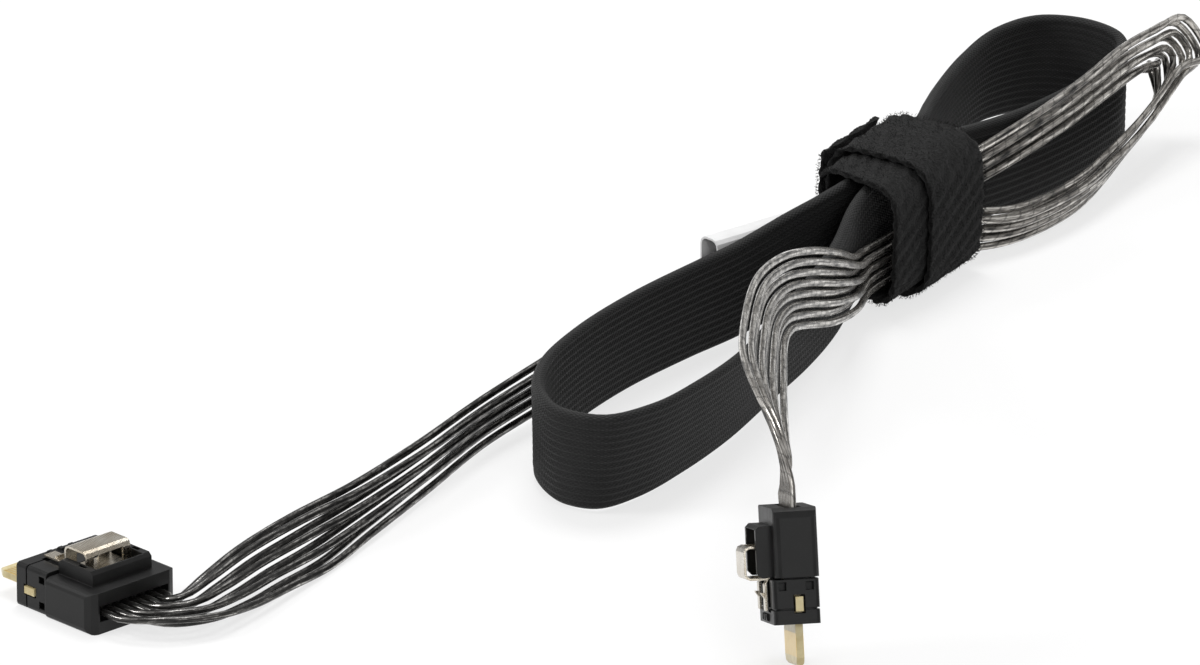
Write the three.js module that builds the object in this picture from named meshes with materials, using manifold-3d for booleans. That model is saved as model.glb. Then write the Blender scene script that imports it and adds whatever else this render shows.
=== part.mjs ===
// Internal signal cable, folded into a hank: two low-profile latching plugs, eight flat twin-lead
// strands at each plug, one flat ribbed sleeve round their middle and a hook-and-loop strap.
// Millimetres, +Z up. The hank's runs lie along X and everything rests on z = 0.
import * as THREE from 'three';
import { mergeVertices } from 'three/addons/utils/BufferGeometryUtils.js';
import Module from 'manifold-3d';

const wasm = await Module();
wasm.setup();

// Fits: what a seated piece keeps to its neighbour, and what a cut runs past the piece it cuts.
const seatGap = 0.3;
const cutPast = 1;

// What a swept body keeps above the floor, for the dip of a smooth route between its stops.
const floorRoom = 0.2;

// Plug housing. In a plug's own frame X is the way it is plugged in, Y its width, Z up to the latch,
// and the back face stands on x = 0.
const coverLength = 10.8;
const coverWidth = 18.2;
const coverHeight = 6.9;
const coverWall = 1.1;
const coverCorner = 1.0;
const coverRoundSteps = 3;
const coverBackRound = 1.6;
const strandSlotWidth = 14.4;
const strandSlotHeight = 2.6;

// Saddle on the cover, between whose cheeks the latch lies.
const saddleStart = 2.7;
const saddleWidth = 12.4;
const saddleHeight = 2.5;
const saddleCorner = 0.6;
const saddleNoseDrop = 0.7;
const cheekHole = 0.7;

// Nose: the front moulding that goes into the socket.
const noseLength = 7.3;
const noseWidth = 17.2;
const noseHeight = 7.3;
const noseCorner = 0.6;
const noseLift = 0.1;
const tongueLength = 3.0;
const pocketLength = 1.3;
const pocketHeight = 1.2;
const pocketDepth = 1.0;
const keyRibCount = 3;
const keyRibLength = 1.5;
const keyRibWidth = 0.8;
const keyRibPitch = 2.2;
const keyRibHeight = 0.45;
const noseGrooveBack = 2.2;
const noseGrooveDepth = 0.35;

// Paddle card through the nose.
const cardThickness = 1.2;
const cardWidth = 13.4;
const cardReach = 6.7;
const cardTipChamfer = 1.3;
const cardBack = 4.4;
const cardMiddle = 3.35;
const earLength = 2.3;
const earReach = 0.2;
const earFromFront = 2.0;

// Potting block that holds the strands' ends on the card.
const pottingLength = 5.0;
const pottingStart = 0.5;

// Latch: one bent strip of spring steel.
const sheet = 0.35;
const latchWidth = 9.2;
const latchSlackAside = 0.35;
const latchRoot = 3.6;
const leafLift = 0.9;
const tabStart = 5.9;
const tabLength = 5.3;
const tabHeight = 1.8;
const tabRise = 0.9;
const tabLegWidth = 1.5;
const armWidth = 2.3;
const armEndBack = 2.1;
const armLift = 0.75;
const armGapBelow = 1.0;
const hookHeight = 0.5;
const hookLength = 0.9;
const hookBack = 4.9;

// Strands: each holds one pair of leads side by side.
const strandCount = 8;
const strandDiameter = 1.3;
const strandSides = 8;
const strandReach = strandDiameter + 1.5 * seatGap;
const cardPitch = 1.75;
const strandsASteps = 26;
const strandsBSteps = 42;

// Sleeve: flat, woven, on edge.
const sleeveWidth = 18;
const sleeveThickness = 2.2;
const sleeveSteps = 80;
const sleeveFirstEnd = -4.2;
const sleeveLastEnd = -4.6;

// Hook-and-loop strap round the hank.
const strapWidth = 19;
const strapThickness = 1.0;
const strapStops = 80;
const strapSteps = 96;
const bundleHalfDepth = 7.1;
const bundleMiddleY = -2.2;
const strapTurns = 2;
const strapStartTurn = 0.1;
const strapDrift = [-4, -12, -15, -7, -1, -3.5, -4.7, -4, -1, 0.5];
const strapCorner = 0.32;
const tailStartTurn = 1.95;
const tailLift = 0.6;

// Blank wrap label round the strands behind the sleeve.
const labelLength = 17;
const labelHeight = 14;
const labelDepth = 4.5;
const labelWall = 0.35;
const labelMiddle = [-37, 8.55, 10.7];
const labelHeading = -0.37;

// Where the tie stands in the part's frame, so that the whole lies round the origin.
const hankPlace = [62.2, 9.8, 0];

// What the strap's two layers take up below the bundle.
const strapLayer = strapThickness + seatGap;
const bundleLift = seatGap + strapThickness + strapLayer * (1.75 - strapStartTurn) + floorRoom;
const bundleMiddleZ = bundleLift + sleeveWidth / 2;

const plastic = new THREE.MeshStandardMaterial({ color: 0x26262a, roughness: 0.5, metalness: 0 });
const steel = new THREE.MeshStandardMaterial({ color: 0xd8d4cc, roughness: 0.25, metalness: 1 });
const board = new THREE.MeshStandardMaterial({ color: 0xd9c67e, roughness: 0.4, metalness: 0.2 });
const resin = new THREE.MeshStandardMaterial({ color: 0x3a3a3c, roughness: 0.6, metalness: 0 });
const foil = new THREE.MeshStandardMaterial({ color: 0x8f8b86, roughness: 0.35, metalness: 0.5 });
const weave = new THREE.MeshStandardMaterial({ color: 0x1d1d1f, roughness: 0.8, metalness: 0 });
const pile = new THREE.MeshStandardMaterial({ color: 0x121214, roughness: 1, metalness: 0 });
const paper = new THREE.MeshStandardMaterial({ color: 0xf0f0ee, roughness: 0.6, metalness: 0 });

// A closed geometry as a solid that can be cut and joined.
function solid(geometry) {
  const bare = geometry.clone();
  bare.deleteAttribute('normal');
  bare.deleteAttribute('uv');
  const merged = mergeVertices(bare);
  return new wasm.Manifold(new wasm.Mesh({
    numProp: 3,
    vertProperties: Float32Array.from(merged.attributes.position.array),
    triVerts: Uint32Array.from(merged.index.array),
  }));
}

// A solid as a named sub-part.
function piece(name, shape, material) {
  const data = shape.getMesh();
  const geometry = new THREE.BufferGeometry();
  geometry.setAttribute('position', new THREE.BufferAttribute(data.vertProperties, 3));
  geometry.setIndex(new THREE.BufferAttribute(data.triVerts, 1));
  geometry.computeVertexNormals();
  const mesh = new THREE.Mesh(geometry, material);
  mesh.name = name;
  return mesh;
}

// A block between two corners.
function block(low, high) {
  const size = high.map((top, axis) => top - low[axis]);
  const geometry = new THREE.BoxGeometry(...size);
  geometry.translate(...low.map((value, axis) => value + size[axis] / 2));
  return solid(geometry);
}

// A flat outline pushed from one place to the other: along X it is drawn in Y and Z, along Y in X
// and Z, and along Z in X and Y.
function prism(outline, along, from, to) {
  const geometry = new THREE.ExtrudeGeometry(outline, { depth: to - from, bevelEnabled: false });
  const x = new THREE.Vector3(1, 0, 0);
  const y = new THREE.Vector3(0, 1, 0);
  const z = new THREE.Vector3(0, 0, 1);
  const turn = new THREE.Matrix4();
  if (along === 'x') turn.makeBasis(y, z, x).setPosition(from, 0, 0);
  if (along === 'y') turn.makeBasis(x, z, y.clone().negate()).setPosition(0, to, 0);
  if (along === 'z') turn.makeBasis(x, y, z).setPosition(0, 0, from);
  geometry.applyMatrix4(turn);
  return solid(geometry);
}

// A rectangle with round corners, from its lowest to its highest corner.
function roundedOutline(low, high, radius, steps) {
  const outline = new THREE.Shape();
  const corners = [
    [high[0] - radius, high[1] - radius, 0],
    [low[0] + radius, high[1] - radius, 1],
    [low[0] + radius, low[1] + radius, 2],
    [high[0] - radius, low[1] + radius, 3],
  ];
  const points = [];
  for (const [x, y, quarter] of corners) {
    for (let step = 0; step <= steps; step += 1) {
      const angle = (quarter + step / steps) * Math.PI / 2;
      points.push(new THREE.Vector2(x + radius * Math.cos(angle), y + radius * Math.sin(angle)));
    }
  }
  outline.setFromPoints(points);
  return outline;
}

// An outline from its corner points.
function outlineOf(...corners) {
  return new THREE.Shape(corners.map(([x, y]) => new THREE.Vector2(x, y)));
}

// The plug's levels that several of its pieces share.
const noseFront = coverLength + noseLength;
const noseTop = noseLift + noseHeight;
const tongueBack = coverLength - tongueLength;
const saddleEnd = coverLength;
const saddleTop = coverHeight + saddleHeight;
const channelWidth = latchWidth + 2 * latchSlackAside;
const leafBottom = coverHeight - coverWall / 2 + leafLift;
const armTop = noseTop + armLift;
const armBottom = armTop - sheet;
const armEnd = noseFront - armEndBack;

// Back cover: a hollow moulding, open to the front for the nose's tongue, with a slot for the
// strands in its back wall and the saddle that carries the latch on top.
function backCover() {
  const half = coverWidth / 2;
  const section = roundedOutline([-half, 0], [half, coverHeight], coverCorner, coverRoundSteps);
  const plan = outlineOf(
    [coverBackRound, -half], [coverLength, -half], [coverLength, half], [coverBackRound, half],
    [coverBackRound * 0.3, half - coverBackRound * 0.3], [0, half - coverBackRound],
    [0, -half + coverBackRound], [coverBackRound * 0.3, -half + coverBackRound * 0.3],
  );
  const saddleSide = outlineOf(
    [saddleStart, coverHeight - coverWall / 2], [saddleEnd, coverHeight - coverWall / 2],
    [saddleEnd, saddleTop - saddleNoseDrop], [saddleEnd - saddleNoseDrop, saddleTop],
    [saddleStart + saddleCorner, saddleTop], [saddleStart, saddleTop - saddleCorner],
  );
  const cavity = block(
    [coverWall + pottingStart, -half + coverWall, coverWall],
    [coverLength + cutPast, half - coverWall, coverHeight - coverWall],
  );
  const slot = block(
    [-cutPast, -strandSlotWidth / 2, cardMiddle - strandSlotHeight / 2],
    [coverWall + pottingStart + cutPast, strandSlotWidth / 2, cardMiddle + strandSlotHeight / 2],
  );
  const channel = block(
    [latchRoot - seatGap, -channelWidth / 2, coverHeight - coverWall / 2],
    [saddleEnd + cutPast, channelWidth / 2, saddleTop + cutPast],
  );
  const holes = [-1, 1].map((side) => {
    const middle = side * (channelWidth + saddleWidth) / 4;
    const at = saddleStart + 2.2;
    return block([at, middle - cheekHole / 2, saddleTop - 0.8], [at + 1.6, middle + cheekHole / 2, saddleTop + cutPast]);
  });
  let cover = prism(section, 'x', 0, coverLength).intersect(prism(plan, 'z', -cutPast, coverHeight + cutPast));
  cover = cover.add(prism(saddleSide, 'y', -saddleWidth / 2, saddleWidth / 2));
  cover = cover.subtract(cavity).subtract(slot).subtract(channel);
  for (const hole of holes) {
    cover = cover.subtract(hole);
  }
  return cover;
}

// Nose: a solid moulding round the card, with a tongue inside the cover, two pockets in each narrow
// side, a groove all round near the front, key ribs and two channels for the latch arms.
function nose() {
  const half = noseWidth / 2;
  const section = roundedOutline([-half, noseLift], [half, noseTop], noseCorner, 2);
  const tongueHalf = coverWidth / 2 - coverWall - seatGap;
  const tongue = block(
    [tongueBack, -tongueHalf, coverWall + seatGap],
    [coverLength + seatGap, tongueHalf, coverHeight - coverWall - seatGap],
  );
  let body = prism(section, 'x', coverLength + seatGap, noseFront).add(tongue);
  const slotHalf = cardThickness / 2 + seatGap;
  const cardSlot = block(
    [tongueBack - cutPast, -cardWidth / 2 - seatGap, cardMiddle - slotHalf],
    [noseFront + cutPast, cardWidth / 2 + seatGap, cardMiddle + slotHalf],
  );
  const earStart = noseFront - earFromFront - earLength;
  const earSlot = block(
    [earStart - seatGap, -half - cutPast, cardMiddle - slotHalf],
    [noseFront - earFromFront + seatGap, half + cutPast, cardMiddle + slotHalf],
  );
  body = body.subtract(cardSlot).subtract(earSlot);
  for (const side of [-1, 1]) {
    const outer = side * (half + cutPast);
    const inner = side * (half - pocketDepth);
    for (const level of [noseLift + 0.9, noseTop - 0.9 - pocketHeight]) {
      const start = coverLength + seatGap + 0.4;
      const pocket = block(
        [start, Math.min(outer, inner), level],
        [start + pocketLength, Math.max(outer, inner), level + pocketHeight],
      );
      body = body.subtract(pocket);
    }
    const armMiddle = side * (latchWidth - armWidth) / 2;
    const armChannel = block(
      [coverLength, armMiddle - armWidth / 2 - latchSlackAside, armBottom - armGapBelow],
      [armEnd + seatGap, armMiddle + armWidth / 2 + latchSlackAside, noseTop + cutPast],
    );
    body = body.subtract(armChannel);
  }
  const grooveAt = noseFront - noseGrooveBack;
  const grooved = roundedOutline(
    [-half + noseGrooveDepth, noseLift + noseGrooveDepth],
    [half - noseGrooveDepth, noseTop - noseGrooveDepth],
    noseCorner,
    2,
  );
  const ring = block([grooveAt - 0.3, -half - cutPast, -cutPast], [grooveAt, half + cutPast, noseTop + cutPast])
    .subtract(prism(grooved, 'x', grooveAt - 0.3 - cutPast, grooveAt + cutPast));
  body = body.subtract(ring);
  for (let rib = 0; rib < keyRibCount; rib += 1) {
    const middle = (rib - (keyRibCount - 1) / 2) * keyRibPitch;
    const ribSide = outlineOf(
      [noseFront - keyRibLength - 0.1, noseTop - 0.2], [noseFront - 0.1, noseTop - 0.2],
      [noseFront - 0.6, noseTop + keyRibHeight], [noseFront - keyRibLength, noseTop + keyRibHeight],
    );
    body = body.add(prism(ribSide, 'y', middle - keyRibWidth / 2, middle + keyRibWidth / 2));
  }
  return body;
}

// Paddle card: a board with a chamfered tip and two ears that lock it in the nose.
function paddleCard() {
  const half = cardWidth / 2;
  const ear = noseWidth / 2 + earReach;
  const earFront = noseFront - earFromFront;
  const earStart = earFront - earLength;
  const tip = noseFront + cardReach;
  const outline = outlineOf(
    [cardBack, -half], [earStart, -half], [earStart, -ear], [earFront, -ear], [earFront, -half],
    [tip - cardTipChamfer, -half], [tip, -half + cardTipChamfer * 0.6], [tip, half - cardTipChamfer * 0.6],
    [tip - cardTipChamfer, half], [earFront, half], [earFront, ear], [earStart, ear], [earStart, half],
    [cardBack, half],
  );
  const flat = prism(outline, 'z', cardMiddle - cardThickness / 2, cardMiddle + cardThickness / 2);
  const wedge = outlineOf(
    [cardBack - cutPast, cardMiddle - cardThickness / 2], [tip - 0.5, cardMiddle - cardThickness / 2],
    [tip, cardMiddle - cardThickness / 2 + 0.35], [tip, cardMiddle + cardThickness / 2 - 0.35],
    [tip - 0.5, cardMiddle + cardThickness / 2], [cardBack - cutPast, cardMiddle + cardThickness / 2],
  );
  return flat.intersect(prism(wedge, 'y', -ear - cutPast, ear + cutPast));
}

// Potting block: hard resin round the strands' ends and the card's back edge.
function potting() {
  const half = coverWidth / 2 - coverWall - seatGap;
  const start = coverWall + pottingStart + seatGap;
  const body = block(
    [start, -half, coverWall + seatGap],
    [start + pottingLength, half, coverHeight - coverWall - seatGap],
  );
  const slotHalf = cardThickness / 2 + seatGap;
  const seat = block(
    [cardBack - seatGap, -cardWidth / 2 - seatGap, cardMiddle - slotHalf],
    [start + pottingLength + cutPast, cardWidth / 2 + seatGap, cardMiddle + slotHalf],
  );
  return body.subtract(seat);
}

// Latch: a leaf rooted at the back of the saddle, a press tab bridged over it, and two arms with a
// hook each along the nose. It turns about its root as the tab is pressed.
function latch() {
  const tabTop = saddleTop + tabHeight;
  const tabEnd = tabStart + tabLength;
  const leafTop = leafBottom + sheet;
  const bend = tabRise;
  const leafSide = outlineOf(
    [latchRoot, leafBottom - leafLift + seatGap], [latchRoot + sheet, leafBottom - leafLift + seatGap],
    [latchRoot + sheet, leafBottom], [tabEnd - sheet, leafBottom],
    [coverLength + seatGap + 0.6, armBottom], [armEnd, armBottom], [armEnd, armTop],
    [coverLength + seatGap + 0.8, armTop], [tabEnd, leafTop],
    [tabEnd, tabTop - bend], [tabEnd - bend * 0.3, tabTop - bend * 0.3], [tabEnd - bend, tabTop],
    [tabStart + bend, tabTop], [tabStart + bend * 0.3, tabTop - bend * 0.3], [tabStart, tabTop - bend],
    [tabStart, leafTop], [latchRoot, leafTop],
  );
  const inside = outlineOf(
    [tabEnd - sheet, leafTop], [tabEnd - sheet, tabTop - bend],
    [tabEnd - sheet - bend * 0.3, tabTop - sheet - bend * 0.15], [tabEnd - bend, tabTop - sheet],
    [tabStart + bend, tabTop - sheet], [tabStart + sheet + bend * 0.3, tabTop - sheet - bend * 0.15],
    [tabStart + sheet, tabTop - bend], [tabStart + sheet, leafTop],
  );
  const half = latchWidth / 2;
  let strip = prism(leafSide, 'y', -half, half);
  strip = strip.subtract(prism(inside, 'y', -half - cutPast, half + cutPast));
  const betweenLegs = block(
    [tabStart - cutPast, -half + tabLegWidth, leafTop],
    [tabStart + sheet + 0.1, half - tabLegWidth, tabTop - bend],
  );
  const betweenArms = block(
    [coverLength - 0.3, -half + armWidth, armBottom - cutPast],
    [armEnd + cutPast, half - armWidth, armTop + cutPast],
  );
  strip = strip.subtract(betweenLegs).subtract(betweenArms);
  const hookEnd = noseFront - hookBack + hookLength;
  for (const side of [-1, 1]) {
    const middle = side * (latchWidth - armWidth) / 2;
    const hookSide = outlineOf(
      [hookEnd - hookLength, armTop - sheet / 2], [hookEnd, armTop - sheet / 2], [hookEnd, armTop],
      [hookEnd - hookLength + 0.2, armTop + hookHeight], [hookEnd - hookLength, armTop + hookHeight],
    );
    strip = strip.add(prism(hookSide, 'y', middle - 0.7, middle + 0.7));
  }
  return strip;
}

// One plug's five sub-parts, placed: the group's X is the way it is plugged in.
function plug(tag, back, insertion, latchSide) {
  const group = new THREE.Group();
  group.add(piece(`back_cover_${tag}`, backCover(), plastic));
  group.add(piece(`nose_${tag}`, nose(), plastic));
  group.add(piece(`paddle_card_${tag}`, paddleCard(), board));
  group.add(piece(`potting_${tag}`, potting(), resin));
  group.add(piece(`latch_${tag}`, latch(), steel));
  const x = new THREE.Vector3(...insertion).normalize();
  const z = new THREE.Vector3(...latchSide);
  z.addScaledVector(x, -z.dot(x)).normalize();
  const y = new THREE.Vector3().crossVectors(z, x);
  const place = new THREE.Matrix4().makeBasis(x, y, z).setPosition(...back);
  group.applyMatrix4(place);
  return group;
}

// A route with a stated direction across it, which a flat section follows. Each stop gives the
// place and the direction across.
class BandPath extends THREE.CatmullRomCurve3 {
  constructor(places, sides) {
    super(places, false, 'centripetal');
    this.sides = new THREE.CatmullRomCurve3(sides, false, 'catmullrom', 0.5);
    this.arcLengthDivisions = 600;
  }

  computeFrenetFrames(segments) {
    const frames = { tangents: [], normals: [], binormals: [] };
    for (let i = 0; i <= segments; i += 1) {
      const t = this.getUtoTmapping(i / segments);
      const tangent = this.getTangent(t);
      const across = this.sides.getPoint(t);
      across.addScaledVector(tangent, -across.dot(tangent)).normalize();
      frames.tangents.push(tangent);
      frames.normals.push(across);
      frames.binormals.push(new THREE.Vector3().crossVectors(tangent, across));
    }
    return frames;
  }
}

// A route wound about X, whose section keeps its direction across along X however the route drifts.
class WoundPath extends THREE.CatmullRomCurve3 {
  computeFrenetFrames(segments) {
    const frames = { tangents: [], normals: [], binormals: [] };
    const x = new THREE.Vector3(1, 0, 0);
    for (let i = 0; i <= segments; i += 1) {
      const tangent = this.getTangentAt(i / segments);
      frames.tangents.push(tangent);
      frames.normals.push(x);
      frames.binormals.push(new THREE.Vector3().crossVectors(tangent, x).normalize());
    }
    return frames;
  }
}

// A section swept along a route.
function sweep(section, path, steps) {
  return solid(new THREE.ExtrudeGeometry(section, { steps, extrudePath: path, bevelEnabled: false }));
}

function polygon(radius, sides) {
  const corners = [];
  for (let i = 0; i < sides; i += 1) {
    const angle = (i + 0.5) * 2 * Math.PI / sides;
    corners.push([radius * Math.cos(angle), radius * Math.sin(angle)]);
  }
  return outlineOf(...corners);
}

// The eight strands of one end as one band. A stop is [x, y, z, across x, y, z, pitch]. Where the
// pitch is less than a strand needs, every other strand moves out of the band's plane.
function strandBand(tag, stops, steps) {
  const centres = stops.map((stop) => new THREE.Vector3(...stop.slice(0, 3)));
  const sides = stops.map((stop) => new THREE.Vector3(...stop.slice(3, 6)).normalize());
  const spine = new THREE.CatmullRomCurve3(centres, false, 'centripetal');
  const strands = [];
  for (let i = 0; i < strandCount; i += 1) {
    const places = stops.map((stop, at) => {
      const pitch = stop[6];
      const tangent = spine.getTangent(at / (stops.length - 1));
      const side = sides[at].clone().addScaledVector(tangent, -sides[at].dot(tangent)).normalize();
      const thick = new THREE.Vector3().crossVectors(tangent, side);
      const layer = Math.sqrt(Math.max(0, strandReach ** 2 - pitch ** 2)) / 2;
      const place = centres[at].clone().addScaledVector(side, (i - (strandCount - 1) / 2) * pitch);
      return place.addScaledVector(thick, i % 2 === 0 ? layer : -layer);
    });
    const tube = sweep(polygon(strandDiameter / 2, strandSides), new BandPath(places, sides), steps);
    strands.push(piece(`strand_${tag}${i + 1}`, tube, foil));
  }
  return strands;
}

// Plug A lies flat, plug B stands on its card's tip, held up by its strands.
const plugABack = [-198.0, 31.1, 0];
const plugAInsertion = [0.3, 0.954, 0];
const plugALatchSide = [0, 0, 1];
const plugBTip = [-167.2, -70.2, 1.95];
const plugBInsertion = [-0.26, -0.201, -0.944];
const plugBLatchSide = [-0.594, 0.804, -0.008];

const axisOf = (list) => new THREE.Vector3(...list).normalize();
const plugBBack = new THREE.Vector3(...plugBTip)
  .addScaledVector(axisOf(plugBInsertion), -(noseFront + cardReach))
  .addScaledVector(axisOf(plugBLatchSide), -cardMiddle)
  .toArray();

// A stop of the strand band in a plug: how far from the back face, along the way it is plugged in.
function stopAtPlug(back, insertion, latchSide, along, across) {
  const place = new THREE.Vector3(...back)
    .addScaledVector(axisOf(latchSide), cardMiddle)
    .addScaledVector(axisOf(insertion), along);
  return [...place.toArray(), ...across, cardPitch];
}

const strandEndInPlug = coverWall + pottingStart;
const acrossA = [0.954, -0.3, 0];
const acrossB = [-0.764, -0.561, 0.319];

// Stops of the strands from plug A to the sleeve's first end, in the tie.
const strandsAStops = [
  stopAtPlug(plugABack, plugAInsertion, plugALatchSide, strandEndInPlug, acrossA),
  stopAtPlug(plugABack, plugAInsertion, plugALatchSide, -0.2, acrossA),
  stopAtPlug(plugABack, plugAInsertion, plugALatchSide, -2.6, acrossA),
  [-198.4, 24.4, 3.35, 0.89, 0.45, 0.05, 1.3],
  [-194.7, 21.4, 3.4, 0.25, 0.95, 0.15, 1.3],
  [-187, 20.4, 3.5, 0.1, 0.9, 0.35, 1.4],
  [-176, 20.1, 3.7, 0.1, 0.85, 0.5, 1.5],
  [-164, 19, 4, 0.1, 0.7, 0.7, 1.45],
  [-149.5, 17.9, 4.7, 0.1, 0.38, 0.92, 1.15],
  [-129.5, 18.2, 4.9, 0, 0.1, 1, 1.05],
  [-108, 18.9, 5.4, -0.1, -0.12, 1, 1.05],
  [-88, 17.4, 6.4, 0, -0.1, 1, 1.05],
  [-66, 15.2, 8.4, 0, -0.05, 1, 1],
  [-45, 11.5, 10, 0, 0, 1, 1],
  [-35, 7.8, 10.8, 0, 0, 1, 1],
  [-26, 3.9, 11.6, 0, 0, 1, 1],
  [-18, 3, bundleMiddleZ, 0, 0, 1, 1],
  [sleeveFirstEnd - seatGap - 4, 2.9, bundleMiddleZ, 0, 0, 1, 1],
  [sleeveFirstEnd - seatGap, 2.9, bundleMiddleZ, 0, 0, 1, 1],
];

// Stops of the strands from plug B over the crest, through the tie and round the far loop back to
// the sleeve's last end, in the tie.
const strandsBStops = [
  stopAtPlug(plugBBack, plugBInsertion, plugBLatchSide, strandEndInPlug, acrossB),
  stopAtPlug(plugBBack, plugBInsertion, plugBLatchSide, -0.2, acrossB),
  stopAtPlug(plugBBack, plugBInsertion, plugBLatchSide, -3, acrossB),
  [-157.6, -62.6, 33, -0.72, -0.3, 0.62, 1.6],
  [-151, -57, 35.6, -0.52, 0.1, 0.85, 1.5],
  [-140, -49.8, 36, -0.35, 0.4, 0.85, 1.55],
  [-125.5, -42, 34.8, -0.28, 0.42, 0.86, 1.6],
  [-107.5, -33.4, 33.6, -0.2, 0.3, 0.93, 1.65],
  [-88.5, -26, 29.2, -0.1, 0.1, 1, 1.7],
  [-70, -20, 23, 0.2, 0, 0.98, 1.75],
  [-52, -16, 16.4, 0.2, 0, 0.98, 1.6],
  [-37, -11.6, 11.4, 0.1, 0, 1, 1.2],
  [-27, -8.1, 9.4, 0, 0, 1, 0.95],
  [-18, -7.3, 8.6, 0, 0, 1, 0.9],
  [-6, -7.3, 8.6, 0, 0, 1, 0.9],
  [3, -7.6, 7.6, 0, -0.1, 1, 0.9],
  [9, -9.8, 5.4, 0, -0.3, 0.95, 0.9],
  [16, -12.8, 4.4, 0, -0.45, 0.9, 0.9],
  [25.5, -15, 4.3, 0, -0.45, 0.9, 0.9],
  [36, -15.8, 4.6, 0, -0.45, 0.9, 0.9],
  [46.5, -15.3, 5.6, 0, -0.5, 0.87, 0.95],
  [56, -14.9, 7.3, 0.1, -0.55, 0.8, 1.05],
  [65, -14.3, 9, 0.2, -0.5, 0.8, 1.2],
  [73.5, -13.4, 11, 0.4, -0.4, 0.8, 1.35],
  [79.4, -12, 13.8, 0.5, -0.3, 0.8, 1.45],
  [77.4, -11, 17, 0.3, -0.3, 0.9, 1.5],
  [69, -11, 18.4, 0.1, -0.2, 0.95, 1.15],
  [60, -11.1, 18.6, 0, 0, 1, 1],
  [50, -11, 17.8, 0, 0.05, 1, 0.9],
  [39.5, -10.3, 16.6, 0, 0.05, 1, 0.9],
  [27, -8.6, 15.2, 0, 0.05, 1, 0.9],
  [15, -6, 13.6, 0, 0, 1, 0.9],
  [5, -4, bundleMiddleZ, 0, 0, 1, 0.95],
  [sleeveLastEnd + seatGap + 4, -3.7, bundleMiddleZ, 0, 0, 1, 1],
  [sleeveLastEnd + seatGap, -3.7, bundleMiddleZ, 0, 0, 1, 1],
];

// Stops of the sleeve: [x, y, lift of its lower edge, across x, y]. It stands on that edge, and its
// top leans by the direction across. Right loop first, then through the tie to the left loop.
const sleeveStops = [
  [sleeveFirstEnd, 2.9, bundleLift, 0, 0],
  [4, 2.8, bundleLift, 0, 0],
  [14.5, 4.3, 3.2, 0, -0.06],
  [24, 7.9, 2.5, 0, -0.12],
  [33, 11, 2.2, 0, -0.17],
  [50, 15, 2, 0, -0.2],
  [63.5, 15.8, 2, 0, -0.18],
  [73, 12, 1.6, 0.02, -0.1],
  [76.2, 4.6, 1, 0.06, -0.03],
  [74, -2.8, 0.4, 0.1, 0],
  [67, -6.9, 0, 0.06, 0.02],
  [58, -7.6, 0, 0.02, 0],
  [45, -6.8, 0, 0, -0.03],
  [30, -4.4, 0.3, 0, -0.05],
  [16, -1.9, 1.6, 0, -0.03],
  [5, -0.4, bundleLift, 0, 0],
  [-9, -0.3, bundleLift, 0, 0],
  [-20, -0.2, bundleLift, 0, 0],
  [-27, 1, 3, 0, -0.02],
  [-36, 4.1, 1.4, 0, -0.06],
  [-46, 6.8, 0.2, 0, -0.11],
  [-56, 8.8, 0, 0, -0.13],
  [-74, 11, 0, 0, -0.13],
  [-92, 11, 0, 0, -0.1],
  [-106, 8.6, 0, -0.03, -0.05],
  [-117, 3.2, 0, -0.12, -0.03],
  [-123.4, -4.5, 0, -0.16, -0.05],
  [-122.8, -11.2, 0, -0.14, -0.16],
  [-115, -14.8, 0, -0.06, -0.24],
  [-102, -16, 0, 0, -0.27],
  [-87, -15.7, 0, 0, -0.27],
  [-68, -13, 0, 0, -0.2],
  [-50, -10.2, 0, 0, -0.12],
  [-37, -7.7, 0.7, 0, -0.08],
  [-25, -5, 3, 0, -0.04],
  [-16, -3.9, bundleLift, 0, 0],
  [sleeveLastEnd, -3.7, bundleLift, 0, 0],
];

function sleeve() {
  const half = sleeveThickness / 2;
  const round = half * 0.6;
  const section = outlineOf(
    [-sleeveWidth / 2, -half + round], [-sleeveWidth / 2 + round, -half],
    [sleeveWidth / 2 - round, -half], [sleeveWidth / 2, -half + round],
    [sleeveWidth / 2, half - round], [sleeveWidth / 2 - round, half],
    [-sleeveWidth / 2 + round, half], [-sleeveWidth / 2, half - round],
  );
  const sides = sleeveStops.map(([, , , x, y]) => new THREE.Vector3(x, y, 1).normalize());
  const places = sleeveStops.map(([x, y, lift], at) => {
    const tilt = sides[at].z;
    const rise = floorRoom + lift + sleeveWidth / 2 * tilt + half * Math.sqrt(1 - tilt * tilt);
    return new THREE.Vector3(x, y, rise);
  });
  return piece('sleeve', sweep(section, new BandPath(places, sides), sleeveSteps), weave);
}

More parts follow.
